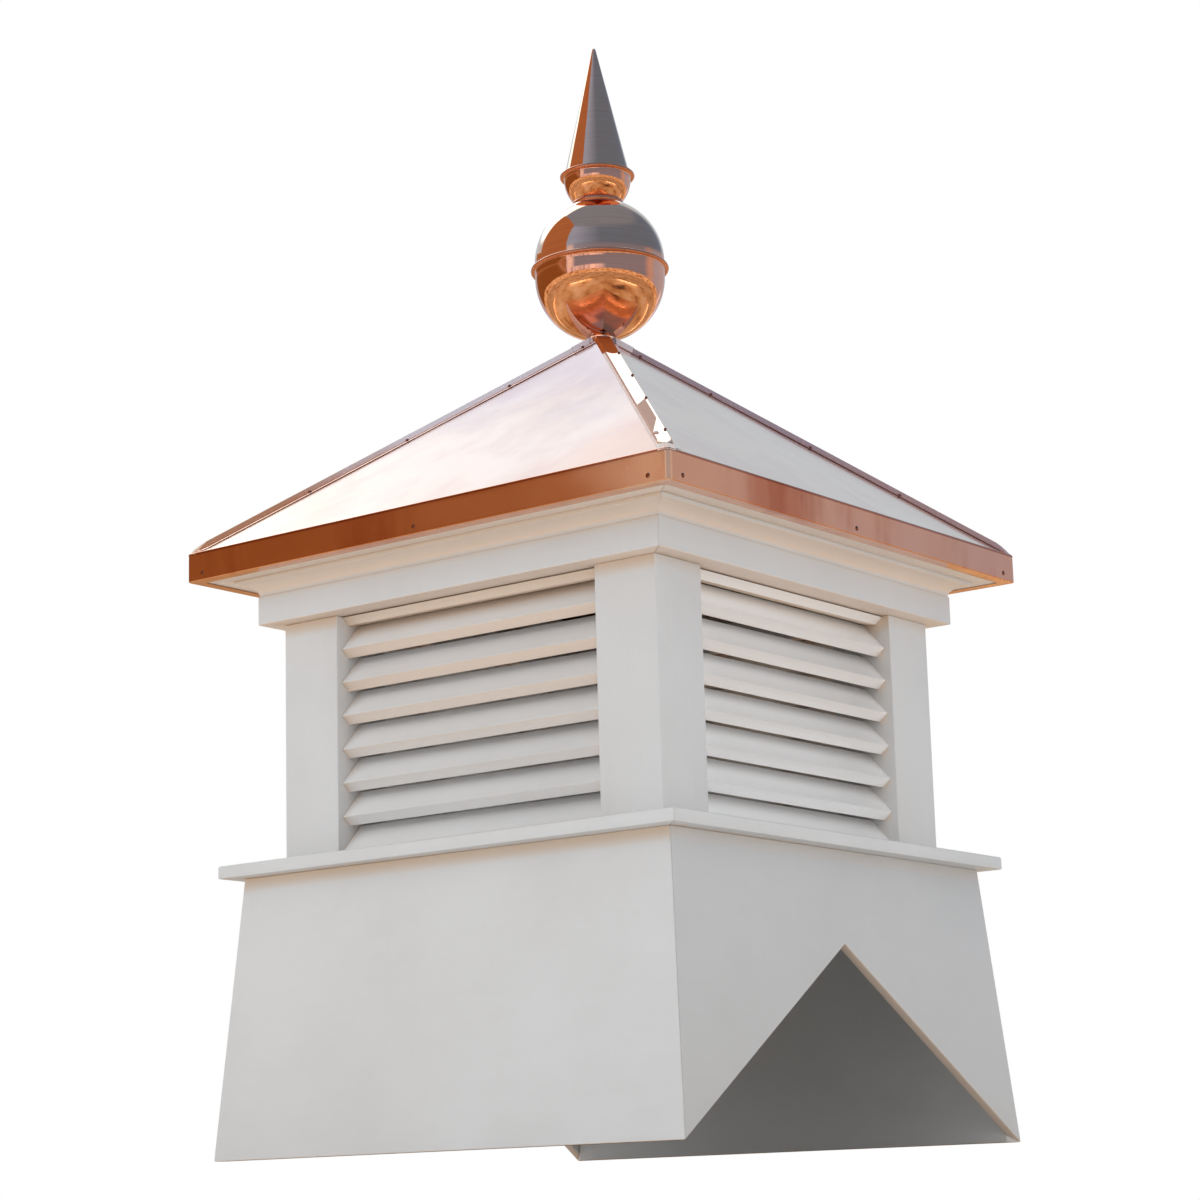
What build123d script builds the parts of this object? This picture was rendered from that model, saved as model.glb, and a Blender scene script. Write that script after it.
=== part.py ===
from build123d import *
import os
from math import cos, radians, sin, sqrt, tan

# Louvred roof cupola, in millimetres. The origin is the middle of the base at its lowest edge,
# +Z is up, and the front faces -Y. The barn ridge that it straddles runs along X.

# flared base
base_height = 344
base_wall = 12.7
base_flare = 27            # how much further out each side stands at the foot than at the top
base_ledge = 36            # top of the base beyond the posts
notch_rise = 230           # height of the saddle notch in the middle of a gable side

# sill
sill_thickness = 16
sill_overhang = 23.5
sill_inner_lap = 6         # sill board beyond the posts, inside
edge_ease = 1.5

# posts and louvres
body_width = 586           # across the outer faces of the posts
post_size = 88.9
post_wall = 6.4
post_height = 304.8
blade_count = 7
blade_thickness = 3.2
face_angle = 48
lip_angle = 40
blade_recess = 8.4         # nose of a blade behind the face of the posts
blade_lap = 2.4            # top of a blade above the lip of the next one up
lip_drop = 10.2
head_gap = 1.5             # between the frieze and the head strip below it
head_drop = 10.4
head_depth = 30

# frieze and crown moulding
frieze_height = 36.7
frieze_overhang = 24
frieze_board = 70
crown_height = 19.5
crown_projection = 22
crown_fillet = 5
crown_ledge = 1.5
crown_back = 38            # how far the moulding reaches back over the frieze

# roof
eave_overhang = 64         # fascia beyond the frieze
roof_rise = 297            # from the eave edge to the point where the four slopes would meet
copper = 1
fascia_drop = 36
fascia_slack = 1.2         # between the fascia sheet and the boards behind it
flange_width = 18
deck_thickness = 15.9
deck_seat = 5
soffit_width = 130

# hip caps
cap_flat = 17
cap_side_run = 2           # how far each side of a cap leans out
cap_lift = 2.4             # top of a cap above the hip
cap_end_angle = 55         # how steeply the closed lower end of a cap rises from the eave
cap_clearance = 0.3

# finial
foot_radius = 16
foot_height = 8
foot_margin = 1
shell = 1.2
ball_radius = 85.5
ball_band = 20             # straight band between the two halves of the ball
collar_radius = 34
collar_height = 6
bowl_radius = 44
bowl_band = 7.5            # straight band at the rim of the bowl
bowl_margin = 1
bead_radius = 3
bead_sink = 0.5            # how deep a rolled bead sits into its shell
spire_inset = 0.5
spire_height = 179
spire_tip_radius = 2.5

# levels and half widths that follow
sill_top = base_height + sill_thickness
post_top = sill_top + post_height
frieze_top = post_top + frieze_height
soffit_bottom = frieze_top + crown_height
fascia_bottom = soffit_bottom - copper
eave = fascia_bottom + fascia_drop
body_half = body_width / 2
opening_half = body_half - post_size
base_top_half = body_half + base_ledge
base_foot_half = base_top_half + base_flare
sill_half = base_top_half + sill_overhang
frieze_half = body_half + frieze_overhang
crown_half = frieze_half + crown_projection
roof_half = frieze_half + eave_overhang
roof_slope = roof_rise / roof_half
slope_length = sqrt(1 + roof_slope**2)
copper_plumb = copper * slope_length
deck_plumb = deck_thickness * slope_length
fascia_inner = roof_half - copper
deck_half = fascia_inner - fascia_slack
deck_foot = deck_half - deck_seat
soffit_top = eave + roof_slope * (roof_half - deck_foot) - copper_plumb - deck_plumb
peak_half = foot_radius + foot_margin
peak = eave + roof_rise - roof_slope * peak_half

SIDES = {"front": 0, "right": 90, "back": 180, "left": 270}
CORNERS = {"front_right": 0, "back_right": 90, "back_left": 180, "front_left": 270}
side_plane = Plane(origin=(0, 0, 0), x_dir=(0, -1, 0), z_dir=(-1, 0, 0))
nodes = {}


def outline(*points):
    """A closed face through points given as (distance from the axis, height)."""
    return make_face(Polyline(*points, close=True))


def side_wedge(reach):
    """The front quarter of the plan, between the two mitre planes."""
    quarter = Polyline((0, 0), (-reach, -reach), (reach, -reach), close=True)
    return extrude(make_face(quarter), amount=2 * (eave + roof_rise))


def mitred_side(section):
    """The front board of a square frame: its section run past both corners and mitred."""
    reach = section.bounding_box().max.X
    board = extrude(side_plane * section, amount=reach, both=True)
    return (board & side_wedge(reach)).solid()


def add_sides(name, front):
    for side, turn in SIDES.items():
        nodes[f"{name}_{side}"] = Rot(0, 0, turn) * front


# flared base: two level sides, and two gable sides notched to straddle the ridge
wall_plumb = base_wall * sqrt(1 + (base_flare / base_height) ** 2)
base_panel = mitred_side(outline(
    (base_foot_half, 0),
    (base_top_half, base_height),
    (base_top_half - wall_plumb, base_height),
    (base_foot_half - wall_plumb, 0),
))
notch = outline(
    (-base_foot_half, -base_wall), (-base_foot_half, 0), (0, notch_rise),
    (base_foot_half, 0), (base_foot_half, -base_wall),
)
gable_notch = extrude(Plane.XZ * notch, amount=2 * base_foot_half)
gable_panel = (base_panel - gable_notch).solid()
for side, turn in SIDES.items():
    panel = gable_panel if side in ("left", "right") else base_panel
    nodes[f"base_panel_{side}"] = Rot(0, 0, turn) * panel

# sill boards with eased top edges
sill_inner = opening_half - sill_inner_lap
add_sides("sill", mitred_side(outline(
    (sill_inner, base_height),
    (sill_half, base_height),
    (sill_half, sill_top - edge_ease),
    (sill_half - edge_ease, sill_top),
    (sill_inner, sill_top),
)))

# square hollow corner posts
post = Rectangle(post_size, post_size) - Rectangle(post_size - 2 * post_wall, post_size - 2 * post_wall)
post_centre = body_half - post_size / 2
for corner, turn in CORNERS.items():
    place = Rot(0, 0, turn) * Pos(post_centre, -post_centre, sill_top)
    nodes[f"corner_post_{corner}"] = place * extrude(post, amount=post_height)


def blade_section(lip_bottom):
    """A louvre blade: a face falling outwards to its nose, and a lip returning below it."""
    nose = Vector(body_half - blade_recess, lip_bottom + lip_drop)
    face_way = Vector(-cos(radians(face_angle)), sin(radians(face_angle)))
    lip_way = Vector(-cos(radians(lip_angle)), -sin(radians(lip_angle)))
    face_top = nose + face_way * (face_rise / sin(radians(face_angle)))
    lip_foot = nose + lip_way * (lip_drop / sin(radians(lip_angle)))
    face_skin = Vector(-face_way.Y, face_way.X) * blade_thickness
    lip_skin = Vector(lip_way.Y, -lip_way.X) * blade_thickness
    inner_nose = nose + (face_way + lip_way) * (blade_thickness / sin(radians(face_angle + lip_angle)))
    corners = [face_top, nose, lip_foot, lip_foot + lip_skin, inner_nose, face_top + face_skin]
    return outline(*[(corner.X, corner.Y) for corner in corners])


# louvres between the posts: a bevelled head strip and the blades, in one row of like pieces
blade_pitch = (post_height - head_drop) / blade_count
face_rise = blade_pitch - lip_drop + blade_lap
lip_depth = blade_recess + lip_drop / tan(radians(lip_angle))
head_top = post_top - head_gap
head_bottom = post_top - head_drop
head_strip = outline(
    (body_half - lip_depth + (head_top - head_bottom) / tan(radians(lip_angle)), head_top),
    (body_half - lip_depth, head_bottom),
    (body_half - head_depth, head_bottom),
    (body_half - head_depth, head_top),
)
blade_sections = [
    blade_section(head_bottom - count * blade_pitch)
    for count in range(1, blade_count + 1)
]
louvre = Compound(children=[
    extrude(side_plane * section, amount=opening_half, both=True).solid()
    for section in [head_strip] + blade_sections
])
add_sides("louvre", louvre)

# frieze boards, and the crown moulding that sits on them: a ledge, a cove and a fillet
frieze_inner = frieze_half - frieze_board
add_sides("frieze", mitred_side(outline(
    (frieze_inner, post_top),
    (frieze_half, post_top),
    (frieze_half, frieze_top),
    (frieze_inner, frieze_top),
)))
crown_inner = frieze_half - crown_back
cove_foot = frieze_half - crown_ledge
cove_top = soffit_bottom - crown_fillet
crown_edges = [
    Line((crown_inner, frieze_top), (cove_foot, frieze_top)),
    EllipticalCenterArc(
        (crown_half, frieze_top), crown_half - cove_foot, cove_top - frieze_top,
        start_angle=90, arc_size=90,
    ),
    Polyline((crown_half, cove_top), (crown_half, soffit_bottom), (crown_inner, soffit_bottom),
             (crown_inner, frieze_top)),
]
add_sides("crown", mitred_side(make_face(Curve() + crown_edges)))

# soffit boards behind the fascia, and the sheathing boards that they carry
add_sides("soffit", mitred_side(outline(
    (roof_half - soffit_width, soffit_bottom),
    (deck_half, soffit_bottom),
    (deck_half, soffit_top),
    (roof_half - soffit_width, soffit_top),
)))
deck_peak_half = peak_half - copper_plumb / roof_slope
deck_edge = eave + roof_slope * (roof_half - deck_half) - copper_plumb
add_sides("deck", mitred_side(outline(
    (0, soffit_top + roof_slope * deck_foot),
    (0, peak),
    (deck_peak_half, peak),
    (deck_half, deck_edge),
    (deck_half, soffit_top),
    (deck_foot, soffit_top),
)))

# copper roof panels: slope, fascia and the flange turned in under the soffit
add_sides("roof_panel", mitred_side(outline(
    (peak_half, peak),
    (roof_half, eave),
    (roof_half, fascia_bottom),
    (roof_half - flange_width, fascia_bottom),
    (roof_half - flange_width, soffit_bottom),
    (fascia_inner, soffit_bottom),
    (fascia_inner, eave + roof_slope * copper - copper_plumb),
    (deck_peak_half, peak),
)))

# hip caps: folded strips with a flat top, coped round the finial's foot and closed at the eaves
# by a web that leans down to the fascias' top edges
hip_slope = roof_slope / sqrt(2)
cap_half = cap_flat / 2 + cap_side_run
cap_inner = cap_half - copper
cap_foot = -hip_slope * cap_half
cap_right = [
    (cap_flat / 2, cap_lift),
    (cap_half, cap_foot),
    (cap_inner, -hip_slope * cap_inner),
    (cap_flat / 2 - copper, cap_lift - copper),
]
cap_left = [(-x, z) for x, z in reversed(cap_right)]
web = [
    (-cap_half, cap_foot), (-cap_flat / 2, cap_lift), (cap_flat / 2, cap_lift), (cap_half, cap_foot),
    (0, 0),
]
hip_run = roof_half * sqrt(2) + cap_half
hip_plane = Plane(origin=(0, 0, eave + roof_rise), x_dir=(0, 1, 0), z_dir=(1, 0, 0))


def along_hip(section):
    """A bar of this section down the whole hip, over +X."""
    return extrude(
        hip_plane * section,
        amount=hip_run * sqrt(1 + hip_slope**2),
        dir=Vector(1, 0, -hip_slope).normalized(),
    )


def cap_room(inset):
    """The room inside the planes of the caps' closed ends, moved inwards by the inset."""
    half = roof_half - inset / sin(radians(cap_end_angle))
    square = Pos(0, 0, eave) * Rot(0, 0, 45) * Rectangle(2 * half, 2 * half)
    return extrude(square, amount=roof_rise + 2 * cap_lift, taper=90 - cap_end_angle)


foot_clear = Cylinder(foot_radius + cap_clearance, 4 * (eave + roof_rise))
cap_end = along_hip(outline(*web)) - cap_room(copper)
cap_bar = along_hip(outline(*cap_right, *cap_left)) + cap_end
hip_cap = Rot(0, 0, -45) * ((cap_bar & cap_room(0)) - foot_clear).solid()
for corner, turn in CORNERS.items():
    nodes[f"hip_cap_{corner}"] = Rot(0, 0, turn) * hip_cap


def revolved(section):
    """A turned piece, from a section given as (radius, height)."""
    return revolve(Plane.XZ * section, axis=Axis.Z).solid()


def half_shell(radius, centre, low, high):
    """Section of a thin spherical shell about the axis, between two heights from its centre."""
    ring = Circle(radius) - Circle(radius - shell)
    window = Pos(radius / 2, (low + high) / 2) * Rectangle(radius, high - low)
    return Pos(0, centre) * (ring & window)


def band(radius, low, high):
    """Section of the straight band of a shell, between two levels."""
    return Pos(radius - shell / 2, (low + high) / 2) * Rectangle(shell, high - low)


def bead(radius, height):
    """Section of the rolled bead just under the rim of a shell."""
    return Pos(radius + bead_radius - bead_sink, height - bead_radius) * Circle(bead_radius)


# finial: foot, ball in two halves, collar, bowl and spire, each seated on the one below
ball_low = sqrt(ball_radius**2 - foot_radius**2)
ball_high = sqrt(ball_radius**2 - collar_radius**2)
ball_centre = peak + foot_height + ball_low
ball_seam = ball_centre + ball_band / 2 + bead_radius
collar_bottom = ball_centre + ball_band + ball_high
collar_top = collar_bottom + collar_height
collar_round = collar_height / 3
bowl_low = sqrt(bowl_radius**2 - (collar_radius - collar_round - bowl_margin) ** 2)
bowl_centre = collar_top + bowl_low
bowl_rim = bowl_centre + bowl_band
spire_radius = bowl_radius - spire_inset
spire_shoulder = bowl_rim + spire_height - spire_tip_radius

nodes["finial_foot"] = revolved(outline(
    (0, peak), (foot_radius, peak), (foot_radius, peak + foot_height), (0, peak + foot_height),
))
nodes["finial_ball_lower"] = revolved(
    half_shell(ball_radius, ball_centre, -ball_low, 0)
    + band(ball_radius, ball_centre, ball_seam)
    + bead(ball_radius, ball_seam)
)
nodes["finial_ball_upper"] = revolved(
    band(ball_radius, ball_seam, ball_centre + ball_band)
    + half_shell(ball_radius, ball_centre + ball_band, 0, ball_high)
)
nodes["finial_collar"] = revolved(outline(
    (0, collar_bottom), (collar_radius, collar_bottom), (collar_radius, collar_top - collar_round),
    (collar_radius - collar_round, collar_top), (0, collar_top),
))
nodes["finial_bowl"] = revolved(
    half_shell(bowl_radius, bowl_centre, -bowl_low, 0)
    + band(bowl_radius, bowl_centre, bowl_rim)
    + bead(bowl_radius, bowl_rim)
)
nodes["finial_spire"] = revolved(outline(
    (spire_radius - shell, bowl_rim),
    (spire_radius, bowl_rim),
    (spire_tip_radius, spire_shoulder),
    (0, bowl_rim + spire_height),
    (0, bowl_rim + (spire_height - spire_tip_radius) * (1 - shell / spire_radius)),
))

os.makedirs("parts", exist_ok=True)
for name, shape in nodes.items():
    export_step(shape, f"parts/{name}.step")
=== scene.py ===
from math import asin, ceil, copysign, cos, exp, hypot, pi, radians, sin, sqrt, tan

import bmesh
import bpy
from mathutils import Matrix, Vector, noise


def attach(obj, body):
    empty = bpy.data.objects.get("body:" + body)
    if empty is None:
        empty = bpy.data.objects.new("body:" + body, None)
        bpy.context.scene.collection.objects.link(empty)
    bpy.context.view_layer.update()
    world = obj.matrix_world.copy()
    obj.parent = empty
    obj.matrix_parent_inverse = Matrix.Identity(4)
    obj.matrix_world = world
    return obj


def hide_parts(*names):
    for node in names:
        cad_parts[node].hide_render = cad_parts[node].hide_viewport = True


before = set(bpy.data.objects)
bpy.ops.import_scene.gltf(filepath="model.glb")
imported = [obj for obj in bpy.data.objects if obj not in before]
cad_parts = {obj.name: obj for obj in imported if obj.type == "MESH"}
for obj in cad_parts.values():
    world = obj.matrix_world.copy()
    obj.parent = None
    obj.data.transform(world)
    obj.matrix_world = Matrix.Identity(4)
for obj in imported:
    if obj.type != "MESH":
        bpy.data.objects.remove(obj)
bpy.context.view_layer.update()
mm = 0.001
sides = {"front": 0, "right": 90, "back": 180, "left": 270}
corners = {"front_right": 0, "back_right": 90, "back_left": 180, "front_left": 270}
print("frame loaded:", len(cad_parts), "CAD nodes")


# helpers for shader nodes

def addNode(tree, kind, sockets=None, **settings):
    # sockets: what each input is set to or linked to; a node stands for its first output
    made = tree.nodes.new("ShaderNode" + kind)
    for key, value in settings.items():
        setattr(made, key, value)
    for key, value in (sockets or {}).items():
        value = value.outputs[0] if isinstance(value, bpy.types.Node) else value
        if isinstance(value, bpy.types.NodeSocket):
            tree.links.new(value, made.inputs[key])
        else:
            made.inputs[key].default_value = value
    return made


def treeOf(*values):
    # the node tree of the first socket among the values
    return next(value.id_data for value in values if isinstance(value, bpy.types.NodeSocket))


def mix(factor, first, second, blend="MIX"):
    sockets = {0: factor, 6: first, 7: second}
    return addNode(treeOf(*sockets.values()), "Mix", sockets, data_type="RGBA", blend_type=blend).outputs[2]


def tinted(factor, colour, tint):
    return mix(factor, colour, tint, "MULTIPLY")


def rampOf(factor, stops):
    made = addNode(factor.id_data, "ValToRGB", {"Fac": factor})
    band = made.color_ramp
    while len(band.elements) < len(stops):
        band.elements.new(0.5)
    for element, (place, shade) in zip(band.elements, stops):
        element.position = place
        element.color = (*shade, 1) if isinstance(shade, tuple) else (shade, shade, shade, 1)
    return made.outputs["Color"]


def compute(operation, *values):
    return addNode(treeOf(*values), "Math", dict(enumerate(values)), operation=operation).outputs[0]


def joining(operation):
    # a function that joins any number of values by one operation
    def join(first, *others):
        for other in others:
            first = compute(operation, first, other)
        return first
    return join


times, plus, minus, larger = (joining(word) for word in ("MULTIPLY", "ADD", "SUBTRACT", "MAXIMUM"))


def between(value, low, high, fromLow=0.0, toHigh=1.0):
    # a smooth step of value from low to high
    sockets = {"Value": value, "From Min": low, "From Max": high, "To Min": fromLow, "To Max": toHigh}
    return addNode(value.id_data, "MapRange", sockets, interpolation_type="SMOOTHSTEP").outputs[0]


def cloud(tree, scale, detail=4, roughness=0.55, stretch=(1, 1, 1), vector=None):
    vector = vector or addNode(tree, "TexCoord").outputs["Object"]
    if stretch != (1, 1, 1):
        vector = addNode(tree, "Mapping", {"Vector": vector, "Scale": stretch}).outputs["Vector"]
    sockets = {"Vector": vector, "Scale": scale, "Detail": detail, "Roughness": roughness}
    return addNode(tree, "TexNoise", sockets).outputs["Fac"]


def strayOf(haze, amount):
    # a noise as a shift to both sides of zero
    return times(minus(haze, 0.5), amount)


def blended(first, second, share):
    return plus(times(first, 1 - share), times(second, share))


def axesOf(tree):
    return addNode(tree, "SeparateXYZ", {0: addNode(tree, "TexCoord").outputs["Object"]}).outputs


def normalOf(tree):
    return addNode(tree, "NewGeometry").outputs["Normal"]


def facing(tree):
    return addNode(tree, "SeparateXYZ", {0: normalOf(tree)}).outputs


def openness(tree, **sockets):
    return addNode(tree, "AmbientOcclusion", sockets, samples=6).outputs["AO"]


def bumpOf(height, strength, depth, under=None):
    # under: the normal that the bump lies on
    sockets = {"Height": height, "Strength": strength, "Distance": depth}
    if under:
        sockets["Normal"] = under
    return addNode(height.id_data, "Bump", sockets)


def emptyMaterial(name):
    made = bpy.data.materials.new(name)
    made.use_nodes = True
    made.node_tree.nodes.clear()
    return made, made.node_tree


def closeMaterial(tree, sockets):
    addNode(tree, "OutputMaterial", {"Surface": addNode(tree, "BsdfPrincipled", sockets)})


# In the dictionaries of materials a noise is its scale, detail, roughness and stretch, a span is
# where a smooth step starts and ends and the values it gives there, and a tone is a stop of a ramp.

# white cellular vinyl: satin, very faint drawn lines, a little dust
vinyl = {
    "tones": [(0.36, (0.672, 0.671, 0.668)), (0.6, (0.705, 0.705, 0.705))],
    "blotches": (5.5, 5, 0.6),
    "lines": (1, 3, 0.6),
    "linesShare": 0.2,
    "dust": (0.52, 0.49, 0.43, 1),
    "dustAmount": 0.10,
    "specks": (38, 6, 0.72),
    "speckTones": [(0.55, 0.0), (0.8, 1.0)],
    "roughness": (0.3, 0.7, 0.36, 0.52),
    "skin": (900, 2),
    "skinLines": 0.4,  # the drawn lines' share of the bump
    "grain": 0.05,
    "grainDepth": 0.6 * mm,
    "edgeRadius": 0.6 * mm,
    "ior": 1.47,
    "bounce": (0.70, 0.54, 0.40, 1),  # painted warm bounce light on the strip right below an overhang
    "bounceReach": 24 * mm,
    "bounceLean": (0, 0, 0.95),
    "bounceSpan": (0.66, 0.22, 0.0, 0.9),
    "bounceRight": 0.25,  # how much of it the right side shows
    "under": (0.86, 0.66, 0.51, 1),  # painted warm light on faces turned down, as if lit from below
    "underSpan": (-0.2, -0.6, 0.0, 0.75),
    "underRight": 0.35,
    "lit": (0.97, 0.97, 0.97, 1),  # painted light on louvre faces in the gaps, standing in for their light on each other
    "litReach": 60 * mm,
    "litSpan": (1.0, 0.7),
    "litFront": 0.35,
    "litRight": 1.0,
    "rightSpan": (0.3, 0.6),
}


def rightward(tree, elsewhere, onRight):
    # one value on faces turned to the right, another on all others
    return between(facing(tree)[0], *vinyl["rightSpan"], elsewhere, onRight)


def paintedBounceMask(tree):
    # where painted warm bounce light goes: 1 where something overhangs close above an upright face, 0 in
    # the open
    lean = addNode(tree, "VectorMath", {0: normalOf(tree), 1: vinyl["bounceLean"]}, operation="ADD")
    space = openness(tree, Distance=vinyl["bounceReach"], Normal=lean)
    return times(between(space, *vinyl["bounceSpan"]), rightward(tree, 1.0, vinyl["bounceRight"]))


def paintedLightMask(tree):
    # painted light on sheltered louvre faces, more on the right side
    amount = rightward(tree, vinyl["litFront"], vinyl["litRight"])
    return times(between(openness(tree, Distance=vinyl["litReach"]), *vinyl["litSpan"]), amount)


def vinylBoard(name, along, tone=1.0, paintedWarmLevels=(-0.2, -0.1), lit=False):
    # along: how fast the drawn lines change on each axis; undersides get painted warm light above the given
    # levels, and a darkening factor below 1 paints shade over the whole board
    made, tree = emptyMaterial(name)
    lines = cloud(tree, *vinyl["lines"], along)
    mottle = blended(cloud(tree, *vinyl["blotches"]), lines, vinyl["linesShare"])
    tones = [(place, tuple(tone * part for part in shade)) for place, shade in vinyl["tones"]]
    dust = times(rampOf(cloud(tree, *vinyl["specks"]), vinyl["speckTones"]), vinyl["dustAmount"])
    colour = mix(dust, rampOf(mottle, tones), vinyl["dust"])
    # painted warm light on faces turned down
    warm = times(between(facing(tree)[2], *vinyl["underSpan"]), between(axesOf(tree)[2], *paintedWarmLevels))
    # painted light in the louvre gaps, with less painted warm light on the right
    if lit:
        colour = mix(paintedLightMask(tree), colour, vinyl["lit"])
        warm = times(warm, rightward(tree, 1.0, vinyl["underRight"]))
    colour = mix(warm, colour, vinyl["under"])
    skin = blended(cloud(tree, *vinyl["skin"]), lines, vinyl["skinLines"])
    edge = addNode(tree, "Bevel", {"Radius": vinyl["edgeRadius"]}, samples=4)
    # the base colour also carries painted warm bounce light below overhangs
    closeMaterial(tree, {
        "Base Color": mix(paintedBounceMask(tree), colour, vinyl["bounce"]),
        "Roughness": between(mottle, *vinyl["roughness"]),
        "Normal": bumpOf(skin, vinyl["grain"], vinyl["grainDepth"], edge),
        "IOR": vinyl["ior"],
    })
    return made


# sheet copper: bright rolled metal with wiped and handled patches
copper = {
    "tones": [(0.35, (0.86, 0.45, 0.30)), (0.6, (0.93, 0.52, 0.37))],
    "drift": (4.2, 5, 0.58),
    "smudge": (0.66, 0.31, 0.19, 1),
    "smudgeAmount": 0.3,
    "wiped": (2.4, 7, 0.66, (1.6, 1.6, 2.2)),
    "wipedTones": [(0.5, 0.0), (0.78, 1.0)],
    "waves": (6.5, 2, 0.4),
    "waveDepth": 2 * mm,
    "lines": (1, 3, 0.7, (30, 30, 900)),
    "rolling": 0.03,
    "rollingDepth": 0.2 * mm,
}


def copperSheet(name, roughness, wave, marking=None, filmShine=0.5):
    # marking changes the colour and gives how bare the metal is, 1 without a film on it
    made, tree = emptyMaterial(name)
    wiped = rampOf(cloud(tree, *copper["wiped"]), copper["wipedTones"])
    colour = rampOf(cloud(tree, *copper["drift"]), copper["tones"])
    colour = mix(times(wiped, copper["smudgeAmount"]), colour, copper["smudge"])
    colour, bare = marking(tree, colour) if marking else (colour, 1.0)
    waves = bumpOf(cloud(tree, *copper["waves"]), wave, copper["waveDepth"])
    closeMaterial(tree, {
        "Base Color": colour,
        "Metallic": bare,
        "Specular IOR Level": filmShine,
        "Roughness": between(wiped, 0.0, 1.0, *roughness),
        "Normal": bumpOf(cloud(tree, *copper["lines"]), copper["rolling"], copper["rollingDepth"], waves),
    })
    return made


# slopes: clouded, with painted reflection tints, lilac beside the finial and peach towards the near corner
slopeMarks = {
    "clouds": (7, 4, 0.55, (1.5, 1.5, 1)),
    "cloudSpan": (0.42, 0.66),
    "cloud": (0.93, 0.86, 0.86, 1),
    "drift": (5.2, 5, 0.62, (1, 1, 1.6)),
    "driftAmount": 0.3,
    "lilac": (0.84, 0.81, 0.92, 1),
    "lilacSpan": (0.86, 0.96),
    "peach": (1.0, 0.88, 0.80, 1),
    "peachSpan": (0.50, 0.66),
    "frontSpan": (0.01, -0.01),
}


def clouded(tree, colour):
    east, north, up = axesOf(tree)
    loose = strayOf(cloud(tree, *slopeMarks["drift"]), slopeMarks["driftAmount"])
    clouds = between(cloud(tree, *slopeMarks["clouds"]), *slopeMarks["cloudSpan"])
    front = between(plus(north, compute("ABSOLUTE", east)), *slopeMarks["frontSpan"])
    # painted reflection tints on the front slope: lilac high up, peach towards the near corner
    lilac = times(between(plus(up, loose), *slopeMarks["lilacSpan"]), front)
    peach = times(between(plus(minus(east, north), loose), *slopeMarks["peachSpan"]), front)
    for amount, tint in ((clouds, "cloud"), (lilac, "lilac"), (peach, "peach")):
        colour = tinted(amount, colour, slopeMarks[tint])
    return colour, 1.0


# fascias: upright streaks, and a lighter, less metallic film towards the near corner, painted light there
streaks = {
    "grain": (1, 5, 0.62, (15, 15, 3)),
    "dark": (0.72, 0.46, 0.36, 1),
    "darkSpan": (0.50, 0.30, 0.0, 0.5),
    "nearCornerSpan": (0.61, 0.75),
    "nearCornerCalm": 0.4,
    "soft": (11, 3, 0.5),
    "softAmount": 0.16,
    # a lighter, less metallic film towards the near corner: painted light
    "light": (0.94, 0.60, 0.39, 1),
    "lightSpan": (0.0, 1.0, 0.25, 0.7),
    "film": 0.32,
    "filmSpan": (0.3, 0.6, 0.7, 1.0),
    "faceSpan": (0.370, 0.376),  # reaches over the outer faces
    "rim": (0.55, 0.42, 0.44, 1),  # painted shade along the fold at the top
    "rimSpan": (0.7532, 0.7546),
    "patch": (0.80, 0.58, 0.50, 1),  # on the right side, towards the near corner
    "patchAt": 0.17,
    "patchSpan": (0.085, 0.03),
    "patchStray": 0.06,
}


def streaksAndPaintedLight(tree, colour):
    east, north, up = axesOf(tree)
    grain, soft = cloud(tree, *streaks["grain"]), cloud(tree, *streaks["soft"])
    reach = minus(east, north)
    calm = between(reach, *streaks["nearCornerSpan"], 1.0, streaks["nearCornerCalm"])
    colour = tinted(times(between(grain, *streaks["darkSpan"]), calm), colour, streaks["dark"])
    # painted light: a lighter, less metallic film towards the near corner, on the outer faces
    near = between(plus(reach, strayOf(soft, streaks["softAmount"])), *streaks["nearCornerSpan"])
    front = between(times(north, -1.0), *streaks["faceSpan"])
    film = times(near, between(soft, *streaks["filmSpan"]))
    colour = mix(times(film, between(front, *streaks["lightSpan"])), colour, streaks["light"])
    away = compute("ABSOLUTE", plus(north, streaks["patchAt"]))
    patch = between(plus(away, strayOf(grain, streaks["patchStray"])), *streaks["patchSpan"])
    colour = tinted(times(patch, between(east, *streaks["faceSpan"])), colour, streaks["patch"])
    # painted shade along the top fold
    colour = tinted(between(up, *streaks["rimSpan"]), colour, streaks["rim"])
    return colour, minus(1.0, times(film, front, streaks["film"]))


# finial: faint rings left by spinning
spun = {
    "rings": (1, 4, 0.65, (1.5, 1.5, 240)),
    "ringTones": [(0.4, (0.93, 0.91, 0.90)), (0.58, (1.0, 1.0, 1.0))],
    "bead": (0.80, 0.62, 0.55, 1),
}


def ringed(tree, colour):
    return tinted(1.0, colour, rampOf(cloud(tree, *spun["rings"]), spun["ringTones"])), 1.0


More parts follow.
